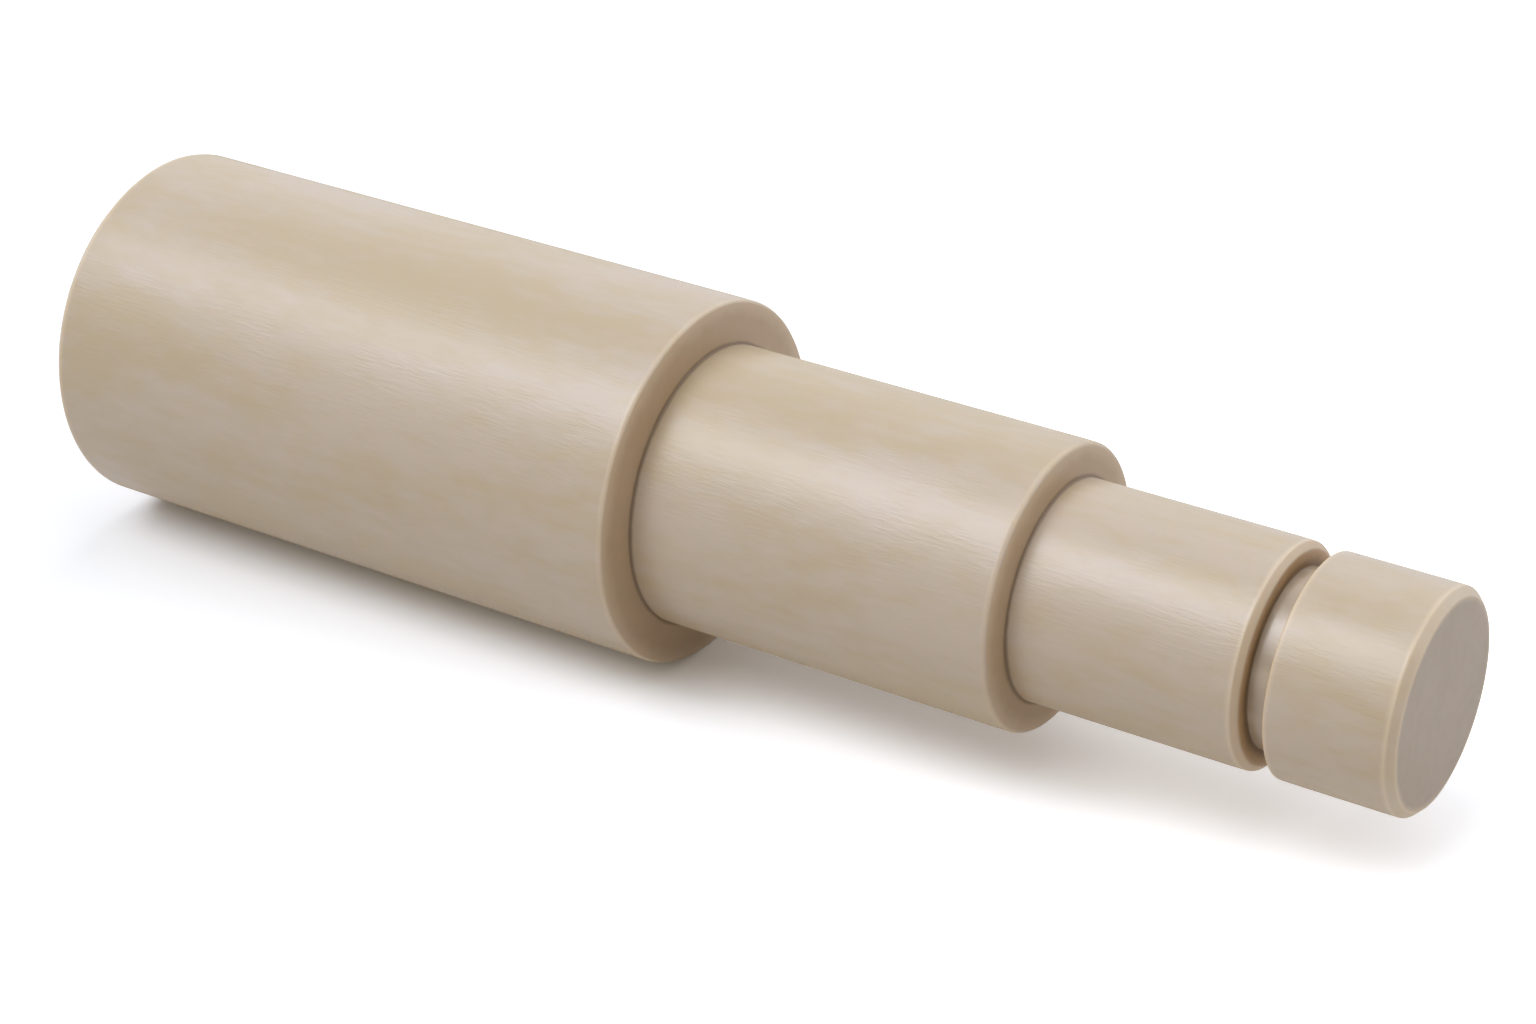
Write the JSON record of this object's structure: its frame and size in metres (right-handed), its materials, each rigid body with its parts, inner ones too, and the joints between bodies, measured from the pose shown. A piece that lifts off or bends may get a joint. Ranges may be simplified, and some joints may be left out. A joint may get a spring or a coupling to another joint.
{
  "type": "stepped shaft",
  "caption": "Turned plastic shaft that steps down in diameter from a thick body to a slim chamfered end, with a retaining ring groove near the tip.",
  "frame": {"origin": "centre of the large end's face, which the shaft stands on", "axes": "+Z along the turning axis, from the large end to the small end; X and Y are any two directions across it, because the shaft is round all over"},
  "size_m": [0.03, 0.03, 0.1194],
  "materials": {
    "turned_plastic": "satin, as turned, natural beige"
  },
  "bodies": {
    "root": {"stepped_shaft": "turned_plastic"}
  },
  "joints": []
}
